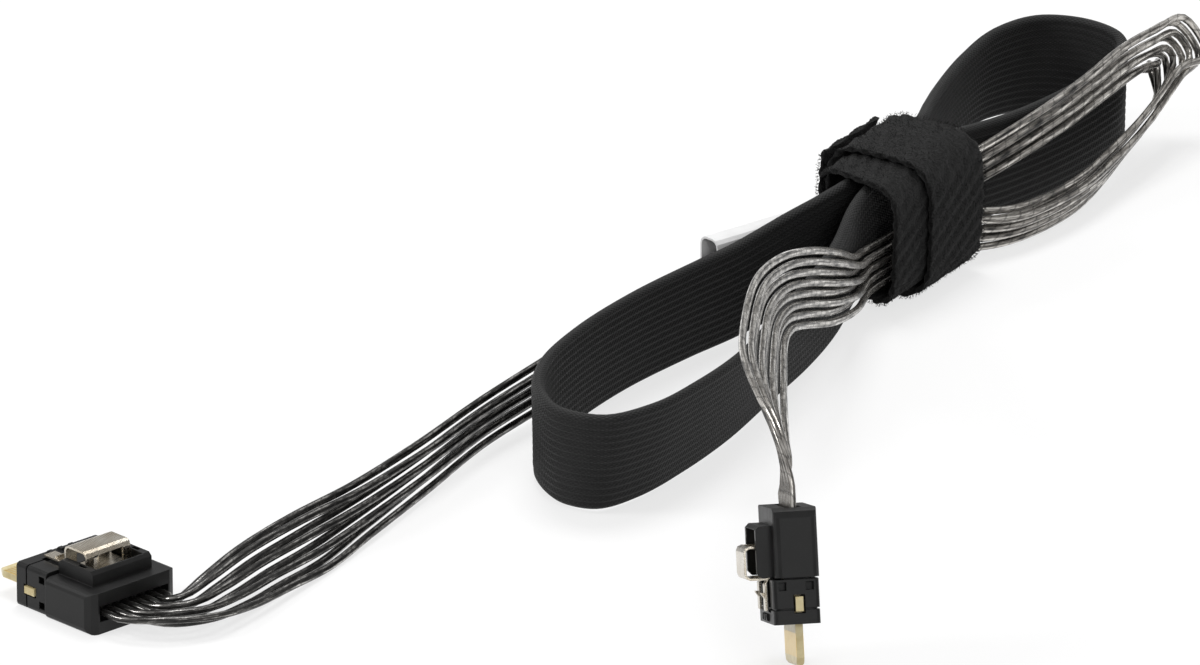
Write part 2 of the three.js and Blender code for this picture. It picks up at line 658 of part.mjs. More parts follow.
// Strap: wound round the bundle, each layer on the last and drifting along X, its tail lifted.
function strap() {
  const inner = bundleHalfDepth + seatGap + strapThickness / 2;
  const innerZ = sleeveWidth / 2 + seatGap + strapThickness / 2;
  const drift = new THREE.CatmullRomCurve3(strapDrift.map((x, quarter) => new THREE.Vector3(x, quarter, 0)));
  const bulge = (value) => Math.sign(value) * Math.abs(value) ** strapCorner;
  const places = [];
  for (let i = 0; i <= strapStops; i += 1) {
    const turn = strapStartTurn + strapTurns * i / strapStops;
    const angle = turn * 2 * Math.PI;
    const grow = strapLayer * (turn - strapStartTurn);
    const tail = Math.max(0, (turn - tailStartTurn) / (strapStartTurn + strapTurns - tailStartTurn));
    places.push(new THREE.Vector3(
      0,
      bundleMiddleY + (inner + grow + tailLift * tail * tail) * bulge(Math.cos(angle)),
      bundleMiddleZ + (innerZ + grow) * bulge(Math.sin(angle)),
    ));
  }
  const runs = places.map((place, i) => (i === 0 ? 0 : place.distanceTo(places[i - 1])));
  const whole = runs.reduce((sum, run) => sum + run, 0);
  let done = 0;
  places.forEach((place, i) => {
    done += runs[i];
    const quarters = 4 * (strapStartTurn + strapTurns * done / whole);
    place.x = drift.getPoint(quarters / (strapDrift.length - 1)).x;
  });
  const half = strapThickness / 2;
  const section = outlineOf(
    [-strapWidth / 2, -half], [strapWidth / 2, -half], [strapWidth / 2, half], [-strapWidth / 2, half],
  );
  const path = new WoundPath(places, false, 'centripetal');
  return piece('hook_and_loop_strap', sweep(section, path, strapSteps), pile);
}

// Label: a blank paper ring round the strands, taller than they are.
function label() {
  const outer = [labelDepth / 2, labelHeight / 2];
  const open = outer.map((half) => half - labelWall);
  const ring = roundedOutline(outer.map((half) => -half), outer, labelDepth / 3, 3);
  const hole = roundedOutline(open.map((half) => -half), open, labelDepth / 3 - labelWall, 3);
  const band = prism(ring, 'x', -labelLength / 2, labelLength / 2)
    .subtract(prism(hole, 'x', -labelLength / 2 - cutPast, labelLength / 2 + cutPast));
  const mesh = piece('wrap_label', band, paper);
  mesh.rotation.z = labelHeading;
  mesh.position.set(...labelMiddle);
  return mesh;
}

const group = new THREE.Group();
group.add(plug('a', plugABack, plugAInsertion, plugALatchSide));
group.add(plug('b', plugBBack, plugBInsertion, plugBLatchSide));
group.add(...strandBand('a', strandsAStops, strandsASteps));
group.add(...strandBand('b', strandsBStops, strandsBSteps));
group.add(sleeve());
group.add(strap());
group.add(label());
group.position.set(...hankPlace);
export default group;
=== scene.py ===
import math
import random
import bmesh
import bpy
import numpy as np
from mathutils import Matrix, Vector


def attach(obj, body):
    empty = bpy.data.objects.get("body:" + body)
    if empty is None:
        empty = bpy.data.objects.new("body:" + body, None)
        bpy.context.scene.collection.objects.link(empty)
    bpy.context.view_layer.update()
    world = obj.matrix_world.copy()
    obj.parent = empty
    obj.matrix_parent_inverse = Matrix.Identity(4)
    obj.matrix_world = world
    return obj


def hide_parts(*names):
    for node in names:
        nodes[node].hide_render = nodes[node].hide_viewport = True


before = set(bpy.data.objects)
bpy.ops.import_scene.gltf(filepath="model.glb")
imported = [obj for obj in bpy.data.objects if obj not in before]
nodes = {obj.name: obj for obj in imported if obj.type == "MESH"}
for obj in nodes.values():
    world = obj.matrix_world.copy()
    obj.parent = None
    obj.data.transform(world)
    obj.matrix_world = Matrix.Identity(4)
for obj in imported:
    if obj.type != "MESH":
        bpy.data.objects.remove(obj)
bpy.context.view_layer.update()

# Plug housings: a back cover with its saddle and a nose at each end, moulded in near-black resin.
# The tool's spark-eroded grain shows on the flats, and the edges catch the light.
class Finish:
    def __init__(self, name, **sockets):
        self.material = bpy.data.materials.new(name)
        self.material.use_nodes = True
        self.nodes = self.material.node_tree.nodes
        self.links = self.material.node_tree.links
        self.shader = self.nodes["Principled BSDF"]
        for socket, value in sockets.items():
            self.shader.inputs[socket.replace("_", " ")].default_value = value

    def add(self, kind, values=None, **settings):
        node = self.nodes.new(kind)
        for key, value in settings.items():
            setattr(node, key, value)
        for key, value in (values or {}).items():
            if isinstance(value, bpy.types.NodeSocket):
                self.links.new(value, node.inputs[key])
            else:
                node.inputs[key].default_value = value
        return node

    def place(self, scale=(1, 1, 1)):
        source = self.add("ShaderNodeTexCoord").outputs["Object"]
        return self.add("ShaderNodeMapping", {"Vector": source, "Scale": scale}).outputs["Vector"]

    def noise(self, vector, scale, detail=3.0, rough=0.5):
        values = {"Vector": vector, "Scale": scale, "Detail": detail, "Roughness": rough}
        return self.add("ShaderNodeTexNoise", values).outputs["Fac"]

    def mottle(self, scale, dark, light, detail=3.0, rough=0.5):
        values = {"Vector": self.place(), "Scale": scale, "Detail": detail, "Roughness": rough}
        for side, (start, tone) in (("Dark", dark), ("Light", light)):
            values[f"{side} At"] = start
            values[side] = (*tone, 1) if isinstance(tone, tuple) else (tone, tone, tone, 1)
        outputs = self.add("ShaderNodeGroup", values, node_tree=mottled_tone).outputs
        self.drive("Base Color", outputs["Colour"])
        return outputs

    def span(self, value, low, high, at_low, at_high):
        values = {
            "Value": value, "From Min": low, "From Max": high, "To Min": at_low, "To Max": at_high,
        }
        return self.add("ShaderNodeMapRange", values).outputs["Result"]

    def ramp(self, value, *stops):
        node = self.add("ShaderNodeValToRGB", {"Fac": value})
        while len(node.color_ramp.elements) < len(stops):
            node.color_ramp.elements.new(0.5)
        for element, (at, colour) in zip(node.color_ramp.elements, stops):
            element.position = at
            element.color = (*colour, 1) if isinstance(colour, tuple) else (colour,) * 3 + (1,)
        return node.outputs["Color"]

    def maths(self, operation, *values, clamp=False):
        node = self.add("ShaderNodeMath", operation=operation, use_clamp=clamp)
        for k, value in enumerate(values):
            if isinstance(value, bpy.types.NodeSocket):
                self.links.new(value, node.inputs[k])
            else:
                node.inputs[k].default_value = value
        return node.outputs[0]

    def mix(self, amount, first, second):
        node = self.add("ShaderNodeMix", data_type="RGBA")
        self.links.new(amount, node.inputs["Factor"])
        self.links.new(first, node.inputs["A"])
        node.inputs["B"].default_value = (*second, 1)
        return node.outputs["Result"]

    def drive(self, socket, value):
        self.links.new(value, self.shader.inputs[socket])

    def bump(self, height, distance, strength=1.0, edge=0.0):
        values = {"Height": height, "Distance": distance, "Strength": strength}
        if edge:
            soft = self.add("ShaderNodeBevel", {"Radius": edge}, samples=4)
            values["Normal"] = soft.outputs["Normal"]
        self.drive("Normal", self.add("ShaderNodeBump", values).outputs["Normal"])


# The uneven tone of a moulded, cast or rolled surface: a noise spread between two colours.
def make_mottled_tone():
    group = bpy.data.node_groups.new("mottled_tone", "ShaderNodeTree")
    for name, kind in (
        ("Vector", "NodeSocketVector"), ("Scale", "NodeSocketFloat"),
        ("Detail", "NodeSocketFloat"), ("Roughness", "NodeSocketFloat"),
        ("Dark At", "NodeSocketFloat"), ("Light At", "NodeSocketFloat"),
        ("Dark", "NodeSocketColor"), ("Light", "NodeSocketColor"),
    ):
        group.interface.new_socket(name, in_out="INPUT", socket_type=kind)
    group.interface.new_socket("Colour", in_out="OUTPUT", socket_type="NodeSocketColor")
    group.interface.new_socket("Tone", in_out="OUTPUT", socket_type="NodeSocketFloat")
    given = group.nodes.new("NodeGroupInput").outputs
    noise = group.nodes.new("ShaderNodeTexNoise")
    spread = group.nodes.new("ShaderNodeMapRange")
    blend = group.nodes.new("ShaderNodeMix")
    blend.data_type = "RGBA"
    result = group.nodes.new("NodeGroupOutput")
    for source, target in (
        (given["Vector"], noise.inputs["Vector"]), (given["Scale"], noise.inputs["Scale"]),
        (given["Detail"], noise.inputs["Detail"]), (given["Roughness"], noise.inputs["Roughness"]),
        (noise.outputs["Fac"], spread.inputs["Value"]),
        (given["Dark At"], spread.inputs["From Min"]),
        (given["Light At"], spread.inputs["From Max"]),
        (spread.outputs["Result"], blend.inputs["Factor"]), (given["Dark"], blend.inputs["A"]),
        (given["Light"], blend.inputs["B"]), (blend.outputs["Result"], result.inputs["Colour"]),
        (noise.outputs["Fac"], result.inputs["Tone"]),
    ):
        group.links.new(source, target)
    return group


def dress(finish, *pieces):
    for piece in pieces:
        slots = piece.data.materials
        for k in range(len(slots)):
            slots[k] = finish.material
        if not slots:
            slots.append(finish.material)


mottled_tone = make_mottled_tone()
housing = Finish("housing_plastic", Specular_IOR_Level=0.3, IOR=1.5)
blotch = housing.mottle(260, (0.3, 0.005), (0.75, 0.011), 4)["Tone"]
housing.drive("Roughness", housing.span(blotch, 0.25, 0.8, 0.36, 0.52))
housing.bump(housing.noise(housing.place(), 9000, 2), 0.00003, 0.5, 0.00018)
for tag in "ab":
    dress(housing, nodes[f"back_cover_{tag}"], nodes[f"nose_{tag}"])

# Latches: one strip of rolled spring steel each, with a straw tint and fine rolling lines. The
# strip is rooted in the saddle, and its press tab and hooked arms are bent up from it.
steel = Finish("latch_steel", Metallic=1.0)
steel.mottle(300, (0.3, (0.5, 0.44, 0.35)), (0.72, (0.7, 0.66, 0.58)))
rolling = steel.noise(steel.place((300, 6000, 6000)), 1)
steel.drive("Roughness", steel.span(rolling, 0.3, 0.8, 0.18, 0.38))
steel.bump(rolling, 0.000004, 0.3, 0.00012)
for tag in "ab":
    dress(steel, nodes[f"latch_{tag}"])

# Potting: dull dark resin cast round the soldered strand ends inside each back cover.
resin = Finish("potting_resin", Roughness=0.55)
resin.mottle(500, (0.3, 0.02), (0.7, 0.04))
for tag in "ab":
    dress(resin, nodes[f"potting_{tag}"])

# Paddle cards: a cream board, with green solder mask towards its root and gilt contact fingers on
# both faces. The pattern is laid out along the plug's own axes, from the tip of the card.
MM = 0.001
HANK_PLACE = np.array([62.2, 9.8, 0.0])
CARD_MIDDLE = 3.35
PLUG_LENGTH = 24.8
FINGER_PITCH = 0.62
FINGER_GAP = 0.22
FINGERS_FROM, FINGERS_TO = 1.5, 5.2
CARD_HALF_THICKNESS = 0.55
MASK_FROM = 12.5


def unit(rows):
    return rows / np.maximum(np.linalg.norm(rows, axis=-1, keepdims=True), 1e-12)


PLUGS = {
    "a": {
        "back": np.array([-198.0, 31.1, 0.0]),
        "insertion": unit(np.array([0.3, 0.954, 0.0])),
        "latch": np.array([0.0, 0.0, 1.0]),
        "across": [0.954, -0.3, 0],
    },
    "b": {
        "insertion": unit(np.array([-0.26, -0.201, -0.944])),
        "latch": unit(np.array([-0.594, 0.804, -0.008])),
        "across": [-0.764, -0.561, 0.319],
    },
}
PLUGS["b"]["back"] = (
    np.array([-167.2, -70.2, 1.95]) - PLUGS["b"]["insertion"] * PLUG_LENGTH
    - PLUGS["b"]["latch"] * CARD_MIDDLE
)


def card_look(tag):
    plug = PLUGS[tag]
    card = Finish(f"card_{tag}", Roughness=0.32)
    source = card.add("ShaderNodeTexCoord").outputs["Object"]
    tip = (plug["back"] + plug["insertion"] * PLUG_LENGTH + HANK_PLACE) * MM
    local = card.add("ShaderNodeVectorMath", {0: source, 1: tuple(tip)}, operation="SUBTRACT")
    wide = unit(np.cross(plug["latch"], plug["insertion"]))

    def measure(axis):
        values = {0: local.outputs[0], 1: tuple(axis)}
        dot = card.add("ShaderNodeVectorMath", values, operation="DOT_PRODUCT")
        return card.maths("MULTIPLY", dot.outputs["Value"], 1 / MM)

    along = card.maths("MULTIPLY", measure(plug["insertion"]), -1)
    beside = card.maths("PINGPONG", measure(wide), FINGER_PITCH / 2)
    finger = card.maths("GREATER_THAN", beside, FINGER_GAP / 2)
    starts = card.maths("GREATER_THAN", along, FINGERS_FROM)
    reach = card.maths("MULTIPLY", starts, card.maths("LESS_THAN", along, FINGERS_TO))
    depth = card.maths("SUBTRACT", measure(plug["latch"]), CARD_MIDDLE)
    face = card.maths("GREATER_THAN", card.maths("ABSOLUTE", depth), CARD_HALF_THICKNESS)
    gilt = card.maths("MULTIPLY", card.maths("MULTIPLY", finger, reach), face)
    board = card.mottle(700, (0.3, (0.62, 0.5, 0.24)), (0.7, (0.78, 0.68, 0.4)), 4)["Colour"]
    masked = card.maths("MULTIPLY", card.maths("SUBTRACT", along, MASK_FROM), 2, clamp=True)
    tone = card.mix(masked, board, (0.02, 0.1, 0.075))
    card.drive("Base Color", card.mix(gilt, tone, (0.83, 0.6, 0.22)))
    card.drive("Metallic", gilt)
    card.bump(gilt, 0.00003, 0.6, 0.00008)
    return card


for tag in "ab":
    dress(card_look(tag), nodes[f"paddle_card_{tag}"])

# Strands: eight at each plug, each a pair of leads side by side under one wrap of silver-grey foil.
# Each leaves its slot in the back cover and follows its own line in the band to the tie.
SEAT_GAP = 0.3
FLOOR_ROOM = 0.2
STRANDS = 8
STRAND_DIAMETER = 1.3
STRAND_REACH = STRAND_DIAMETER + 1.5 * SEAT_GAP
STRAND_STEP = 1.6
LEAD_GROOVE = 0.16
CARD_PITCH = 1.75
STRAND_END = 1.6
STRAP_THICKNESS = 1.0
STRAP_LAYER = 1.3
STRAP_START = 0.1
BUNDLE_LIFT = SEAT_GAP + STRAP_THICKNESS + STRAP_LAYER * (1.75 - STRAP_START) + FLOOR_ROOM
SLEEVE_WIDTH = 18.0
BUNDLE_MIDDLE_Z = BUNDLE_LIFT + SLEEVE_WIDTH / 2


# The smooth line that a cord takes through its stops.
def cord_line(points, count, power=0.5):
    points = np.array(points, float)
    ahead = 2 * points[0] - points[1]
    behind = 2 * points[-1] - points[-2]
    full = np.vstack([ahead, points, behind])
    found = []
    for t in np.linspace(0, len(points) - 1, count):
        i = min(int(t), len(points) - 2)
        w = t - i
        p0, p1, p2, p3 = full[i:i + 4]
        d0 = max(np.linalg.norm(p1 - p0) ** power, 1e-9)
        d1 = max(np.linalg.norm(p2 - p1) ** power, 1e-9)
        d2 = max(np.linalg.norm(p3 - p2) ** power, 1e-9)
        m1 = ((p1 - p0) / d0 - (p2 - p0) / (d0 + d1) + (p2 - p1) / d1) * d1
        m2 = ((p2 - p1) / d1 - (p3 - p1) / (d1 + d2) + (p3 - p2) / d2) * d1
        found.append(
            p1 + m1 * w + (-3 * p1 + 3 * p2 - 2 * m1 - m2) * w ** 2
            + (2 * p1 - 2 * p2 + m1 + m2) * w ** 3
        )
    return np.array(found)


# The same line with its points evenly spaced, so that patterns run true along it.
def space_evenly(path, sides, step):
    runs = np.concatenate([[0], np.cumsum(np.linalg.norm(np.diff(path, axis=0), axis=1))])
    at = np.linspace(0, runs[-1], max(2, round(runs[-1] / step) + 1))
    even = np.array([np.interp(at, runs, path[:, k]) for k in range(3)]).T
    across = np.array([np.interp(at, runs, sides[:, k]) for k in range(3)]).T
    return even, across, at


# A section swept along a route, as a closed mesh with a UV of metres round it and along it. The
# section's first axis keeps to the stated direction across.
def wind_band(name, path, across, outline, along, keep_across=False):
    tangent = unit(np.gradient(path, axis=0))
    if keep_across:
        side = unit(across)
    else:
        side = unit(across - tangent * (across * tangent).sum(1, keepdims=True))
    thick = unit(np.cross(tangent, side))
    mesh = bmesh.new()
    uv = mesh.loops.layers.uv.new("run")
    rings = []
    for i in range(len(path)):
        section = outline(i) if callable(outline) else outline
        rings.append([
            mesh.verts.new(path[i] + side[i] * a + thick[i] * b) for a, b in section
        ])
    first = np.array(outline(0) if callable(outline) else outline)
    edges = np.linalg.norm(np.roll(first, -1, axis=0) - first, axis=1)
    around = np.concatenate([[0], np.cumsum(edges)])
    count = len(rings[0])
    for i in range(len(rings) - 1):
        for k in range(count):
            j = (k + 1) % count
            face = mesh.faces.new((rings[i][k], rings[i][j], rings[i + 1][j], rings[i + 1][k]))
            face.smooth = True
            spots = (
                (around[k], along[i]), (around[k + 1], along[i]),
                (around[k + 1], along[i + 1]), (around[k], along[i + 1]),
            )
            for loop, spot in zip(face.loops, spots):
                loop[uv].uv = spot
    mesh.faces.new(list(reversed(rings[0])))
    mesh.faces.new(rings[-1])
    bmesh.ops.recalc_face_normals(mesh, faces=mesh.faces)
    data = bpy.data.meshes.new(name)
    mesh.to_mesh(data)
    mesh.free()
    obj = bpy.data.objects.new(name, data)
    bpy.context.scene.collection.objects.link(obj)
    return obj


# Every stop is a place, a direction across the band, and the pitch of the strands there.
def at_plug(tag, along):
    plug = PLUGS[tag]
    place = plug["back"] + plug["latch"] * CARD_MIDDLE + plug["insertion"] * along
    return [*place, *plug["across"], CARD_PITCH]


STOPS_A = [
    at_plug("a", STRAND_END), at_plug("a", -0.2), at_plug("a", -2.6),
    [-198.4, 24.4, 3.35, 0.89, 0.45, 0.05, 1.3], [-194.7, 21.4, 3.4, 0.25, 0.95, 0.15, 1.3],
    [-187, 20.4, 3.5, 0.1, 0.9, 0.35, 1.4], [-176, 20.1, 3.7, 0.1, 0.85, 0.5, 1.5],
    [-164, 19, 4, 0.1, 0.7, 0.7, 1.45], [-149.5, 17.9, 4.7, 0.1, 0.38, 0.92, 1.15],
    [-129.5, 18.2, 4.9, 0, 0.1, 1, 1.05], [-108, 18.9, 5.4, -0.1, -0.12, 1, 1.05],
    [-88, 17.4, 6.4, 0, -0.1, 1, 1.05], [-66, 15.2, 8.4, 0, -0.05, 1, 1],
    [-45, 11.5, 10, 0, 0, 1, 1], [-35, 7.8, 10.8, 0, 0, 1, 1], [-26, 3.9, 11.6, 0, 0, 1, 1],
    [-18, 3, BUNDLE_MIDDLE_Z, 0, 0, 1, 1], [-8.5, 2.9, BUNDLE_MIDDLE_Z, 0, 0, 1, 1],
    [-4.5, 2.9, BUNDLE_MIDDLE_Z, 0, 0, 1, 1],
]
STOPS_B = [
    at_plug("b", STRAND_END), at_plug("b", -0.2), at_plug("b", -3),
    [-157.6, -62.6, 33, -0.72, -0.3, 0.62, 1.6], [-151, -57, 35.6, -0.52, 0.1, 0.85, 1.5],
    [-140, -49.8, 36, -0.35, 0.4, 0.85, 1.55], [-125.5, -42, 34.8, -0.28, 0.42, 0.86, 1.6],
    [-107.5, -33.4, 33.6, -0.2, 0.3, 0.93, 1.65], [-88.5, -26, 29.2, -0.1, 0.1, 1, 1.7],
    [-70, -20, 23, 0.2, 0, 0.98, 1.75], [-52, -16, 16.4, 0.2, 0, 0.98, 1.6],
    [-37, -11.6, 11.4, 0.1, 0, 1, 1.2], [-27, -8.1, 9.4, 0, 0, 1, 0.95],
    [-18, -7.3, 8.6, 0, 0, 1, 0.9], [-6, -7.3, 8.6, 0, 0, 1, 0.9],
    [3, -7.6, 7.6, 0, -0.1, 1, 0.9], [9, -9.8, 5.4, 0, -0.3, 0.95, 0.9],
    [16, -12.8, 4.4, 0, -0.45, 0.9, 0.9], [25.5, -15, 4.3, 0, -0.45, 0.9, 0.9],
    [36, -15.8, 4.6, 0, -0.45, 0.9, 0.9], [46.5, -15.3, 5.6, 0, -0.5, 0.87, 0.95],
    [56, -14.9, 7.3, 0.1, -0.55, 0.8, 1.05], [65, -14.3, 9, 0.2, -0.5, 0.8, 1.2],
    [73.5, -13.4, 11, 0.4, -0.4, 0.8, 1.35], [79.4, -12, 13.8, 0.5, -0.3, 0.8, 1.45],
    [77.4, -11, 17, 0.3, -0.3, 0.9, 1.5], [69, -11, 18.4, 0.1, -0.2, 0.95, 1.15],
    [60, -11.1, 18.6, 0, 0, 1, 1], [50, -11, 17.8, 0, 0.05, 1, 0.9],
    [39.5, -10.3, 16.6, 0, 0.05, 1, 0.9], [27, -8.6, 15.2, 0, 0.05, 1, 0.9],
    [15, -6, 13.6, 0, 0, 1, 0.9], [5, -4, BUNDLE_MIDDLE_Z, 0, 0, 1, 0.95],
    [-0.3, -3.7, BUNDLE_MIDDLE_Z, 0, 0, 1, 1], [-4.3, -3.7, BUNDLE_MIDDLE_Z, 0, 0, 1, 1],
]


def strand_places(stops, i):
    stops = np.array(stops, float)
    centres = stops[:, :3]
    sides = unit(stops[:, 3:6])
    fine = cord_line(centres, (len(stops) - 1) * 40 + 1)
    tangents = unit(np.gradient(fine, axis=0))[::40]
    side = unit(sides - tangents * (sides * tangents).sum(1, keepdims=True))
    thick = np.cross(tangents, side)
    pitch = stops[:, 6:7]
    layer = np.sqrt(np.maximum(0, STRAND_REACH ** 2 - pitch ** 2)) / 2
    return centres + side * (i - 3.5) * pitch + thick * layer * (1 if i % 2 == 0 else -1), sides


# A shallow groove runs between the two leads of a strand.
def strand_outline():
    shape = []
    for k in range(12):
        angle = 2 * math.pi * k / 12
        pinch = 1 - LEAD_GROOVE * math.sin(angle) ** 8
        shape.append((
            STRAND_DIAMETER / 2 * math.cos(angle) * MM,
            STRAND_DIAMETER / 2 * math.sin(angle) * pinch * MM * 0.94,
        ))
    return shape


# The foil is darker where its wrap overlaps, speckled, and streaked along the strand. Its dark
# tones are painted shade and its light tones are painted light, on one and the same foil.
def foil_look(name, dark):
    foil = Finish(name, Metallic=0.7)
    source = foil.add("ShaderNodeUVMap", uv_map="run").outputs["UV"]
    specks = foil.add("ShaderNodeMapping", {"Vector": source, "Scale": (1400, 260, 1)})
    grains = foil.noise(specks.outputs["Vector"], 1.0, 4, 0.65)
    streaks = foil.add("ShaderNodeMapping", {"Vector": source, "Scale": (2300, 75, 1)})
    streak = foil.noise(streaks.outputs["Vector"], 1.0, 2)
    speckle = foil.maths("MULTIPLY_ADD", streak, 0.55, foil.maths("MULTIPLY", grains, 0.45))
    split = foil.add("ShaderNodeSeparateXYZ", {"Vector": source})
    slant = foil.maths("ADD", split.outputs["Y"], foil.maths("MULTIPLY", split.outputs["X"], 0.8))
    lap = foil.maths("PINGPONG", slant, 0.0016)
    edge = foil.maths("LESS_THAN", lap, 0.00022)
    # With dark set these tones are painted shade; without it they are painted light.
    tones = (
        foil.ramp(speckle, (0.42, 0.012), (0.52, (0.07, 0.068, 0.065)), (0.63, (0.6, 0.585, 0.56)))
        if dark else
        foil.ramp(speckle, (0.4, 0.03), (0.49, (0.26, 0.245, 0.225)), (0.6, (0.85, 0.82, 0.77)))
    )
    wrap = foil.mix(foil.maths("MULTIPLY", edge, 0.5), tones, (0.05, 0.048, 0.045))
    foil.drive("Base Color", wrap)
    foil.drive("Roughness", foil.ramp(speckle, (0.38, 0.42), (0.58, 0.15)))
    foil.bump(foil.maths("ADD", foil.maths("MULTIPLY", edge, -0.5), speckle), 0.0001, 0.6)
    return foil


# The same foil twice: plug A's strands get the copy with painted shade, plug B's the copy with
# painted light.
foils = {"a": foil_look("strand_foil_painted_shade", True), "b": foil_look("strand_foil_painted_light", False)}
for tag, stops in (("a", STOPS_A), ("b", STOPS_B)):
    for i in range(STRANDS):
        places, sides = strand_places(stops, i)
        line = cord_line(places, (len(places) - 1) * 16 + 1)
        across = cord_line(sides, (len(places) - 1) * 16 + 1, 0)
        line, across, along = space_evenly((line + HANK_PLACE) * MM, across, STRAND_STEP * MM)
        strand = wind_band(f"strand_look_{tag}{i + 1}", line, across, strand_outline(), along)
        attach(strand, "cable")
        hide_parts(f"strand_{tag}{i + 1}")
        dress(foils[tag], strand)

# Sleeve: a flat band woven of near-black yarn that stands on edge, ribbed lengthwise by the strands
# inside it. It runs twice through the tie, in a small loop and a large one.
SLEEVE_THICKNESS = 2.2
SLEEVE_STEP = 1.2
RIBS = 14
RIB_DEPTH = 0.34
HEM = 0.3
HEM_ROUND = 0.9
HEM_HALF_THICKNESS = 0.45
WARP_PITCH, WEFT_PITCH = 0.52, 0.9
SLEEVE_STOPS = [
    [-4.2, 2.9, BUNDLE_LIFT, 0, 0], [4, 2.8, BUNDLE_LIFT, 0, 0], [14.5, 4.3, 3.2, 0, -0.06],
    [24, 7.9, 2.5, 0, -0.12], [33, 11, 2.2, 0, -0.17], [50, 15, 2, 0, -0.2],
    [63.5, 15.8, 2, 0, -0.18], [73, 12, 1.6, 0.02, -0.1], [76.2, 4.6, 1, 0.06, -0.03],
    [74, -2.8, 0.4, 0.1, 0], [67, -6.9, 0, 0.06, 0.02], [58, -7.6, 0, 0.02, 0],
    [45, -6.8, 0, 0, -0.03], [30, -4.4, 0.3, 0, -0.05], [16, -1.9, 1.6, 0, -0.03],
    [5, -0.4, BUNDLE_LIFT, 0, 0], [-9, -0.3, BUNDLE_LIFT, 0, 0], [-20, -0.2, BUNDLE_LIFT, 0, 0],
    [-27, 1, 3, 0, -0.02], [-36, 4.1, 1.4, 0, -0.06], [-46, 6.8, 0.2, 0, -0.11],
    [-56, 8.8, 0, 0, -0.13], [-74, 11, 0, 0, -0.13], [-92, 11, 0, 0, -0.1],
    [-106, 8.6, 0, -0.03, -0.05], [-117, 3.2, 0, -0.12, -0.03], [-123.4, -4.5, 0, -0.16, -0.05],
    [-122.8, -11.2, 0, -0.14, -0.16], [-115, -14.8, 0, -0.06, -0.24], [-102, -16, 0, 0, -0.27],
    [-87, -15.7, 0, 0, -0.27], [-68, -13, 0, 0, -0.2], [-50, -10.2, 0, 0, -0.12],
    [-37, -7.7, 0.7, 0, -0.08], [-25, -5, 3, 0, -0.04], [-16, -3.9, BUNDLE_LIFT, 0, 0],
    [-4.6, -3.7, BUNDLE_LIFT, 0, 0],
]


def sleeve_outline():
    half = SLEEVE_WIDTH / 2 - HEM
    shape = []
    for face in (-1, 1):
        count = RIBS * 4
        for k in range(count + 1):
            a = (2 * k / count - 1) * half * -face
            ridge = 0.5 - 0.5 * math.cos(2 * math.pi * RIBS * k / count)
            edge = min(1, (half - abs(a)) / HEM_ROUND)
            swell = SLEEVE_THICKNESS / 2 - RIB_DEPTH + RIB_DEPTH * ridge - HEM_HALF_THICKNESS
            depth = HEM_HALF_THICKNESS + swell * math.sqrt(max(0, edge))
            shape.append((a * MM, face * depth * MM))
    return shape


sleeve_stops = np.array(SLEEVE_STOPS, float)
sleeve_sides = unit(np.column_stack([sleeve_stops[:, 3:5], np.ones(len(sleeve_stops))]))
tilt = sleeve_sides[:, 2]
rise = (
    FLOOR_ROOM + sleeve_stops[:, 2] + SLEEVE_WIDTH / 2 * tilt
    + SLEEVE_THICKNESS / 2 * np.sqrt(1 - tilt ** 2) + 0.05
)
sleeve_places = np.column_stack([sleeve_stops[:, :2], rise])
sleeve_line = cord_line(sleeve_places, (len(sleeve_places) - 1) * 16 + 1)
sleeve_across = cord_line(sleeve_sides, (len(sleeve_places) - 1) * 16 + 1, 0)
sleeve_line, sleeve_across, sleeve_along = space_evenly(
    (sleeve_line + HANK_PLACE) * MM, sleeve_across, SLEEVE_STEP * MM
)
sleeve = wind_band("sleeve_look", sleeve_line, sleeve_across, sleeve_outline(), sleeve_along)
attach(sleeve, "cable")
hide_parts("sleeve")

weave = Finish(
    "sleeve_weave", Roughness=0.7, Specular_IOR_Level=0.35, Sheen_Weight=0.06,
    Sheen_Roughness=0.4,
)
run = weave.add("ShaderNodeUVMap", uv_map="run").outputs["UV"]
parts = weave.add("ShaderNodeSeparateXYZ", {"Vector": run})
turns_across = weave.maths("MULTIPLY", parts.outputs["X"], 2 * math.pi / (WARP_PITCH * MM))
turns_along = weave.maths("MULTIPLY", parts.outputs["Y"], 2 * math.pi / (WEFT_PITCH * MM))
warp = weave.maths("SINE", turns_across)
weft = weave.maths("SINE", turns_along)
cross = weave.maths("MULTIPLY", warp, weft)
lint = weave.noise(weave.place(), 420, 5, 0.6)
yarn = weave.maths("ADD", weave.maths("MULTIPLY", cross, 0.35), weave.maths("MULTIPLY", lint, 0.65))
weave.drive("Base Color", weave.ramp(yarn, (0.2, 0.006), (0.75, 0.018)))
weave.bump(cross, 0.00008, 0.7)
dress(weave, sleeve)

# Strap: two turns of hook-and-loop tape round the bundle, with its lifted tail. Its face is rough
# with slanting rows of loops, and loose fibres stand on it and along its edges.
random.seed(7)
STRAP_DRIFT = [-4, -12, -15, -7, -1, -3.5, -4.7, -4, -1, 0.5]
STRAP_TURNS, TAIL_START, TAIL_LIFT = 2, 1.95, 0.6
STRAP_WIDTH = 19.0
STRAP_SEAT = SEAT_GAP + STRAP_THICKNESS / 2
STRAP_STEP = 0.6
PILE_DEPTH, PILE_ROW, PILE_SLANT, PILE_CLOSENESS = 0.2, 0.17, 0.45, 2.1
PILE_POINTS = 42
FIBRES = 9000
FIBRE_SPREAD = 9.3
FIBRE_HALF_WIDTH = 0.035
BUNDLE_HALF_DEPTH, BUNDLE_MIDDLE_Y, STRAP_CORNER = 8.3, -2.2, 0.5


